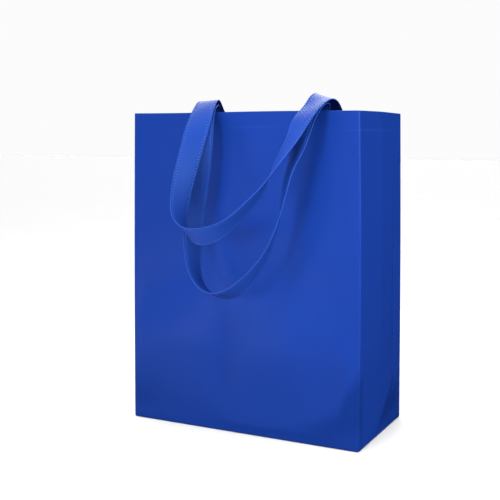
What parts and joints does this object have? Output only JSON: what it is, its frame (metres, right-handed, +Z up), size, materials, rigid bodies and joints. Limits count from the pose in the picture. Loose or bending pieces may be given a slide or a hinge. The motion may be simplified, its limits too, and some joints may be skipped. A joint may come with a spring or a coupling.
{
  "type": "plastic carrier bag",
  "caption": "Open-topped box-gusset carrier bag in blue non-woven plastic, with a flat base, a turned-in hem and flat strap handles draped forward over the front edge.",
  "frame": {"origin": "centre of the flat base, on the surface the bag stands on", "axes": "+Z up to the open mouth, +X to the right along the front panel as seen from the front, +Y from the front panel to the back panel"},
  "size_m": [0.3024, 0.254, 0.406],
  "materials": {
    "bag_fabric": "laminated non-woven polypropylene, soft satin",
    "front_strap": "folded and welded non-woven strap, matt",
    "back_strap": "folded and welded non-woven strap, matt"
  },
  "bodies": {
    "root": {"bag_body": "bag_fabric", "front_handle": "front_strap", "back_handle": "back_strap"}
  },
  "joints": []
}
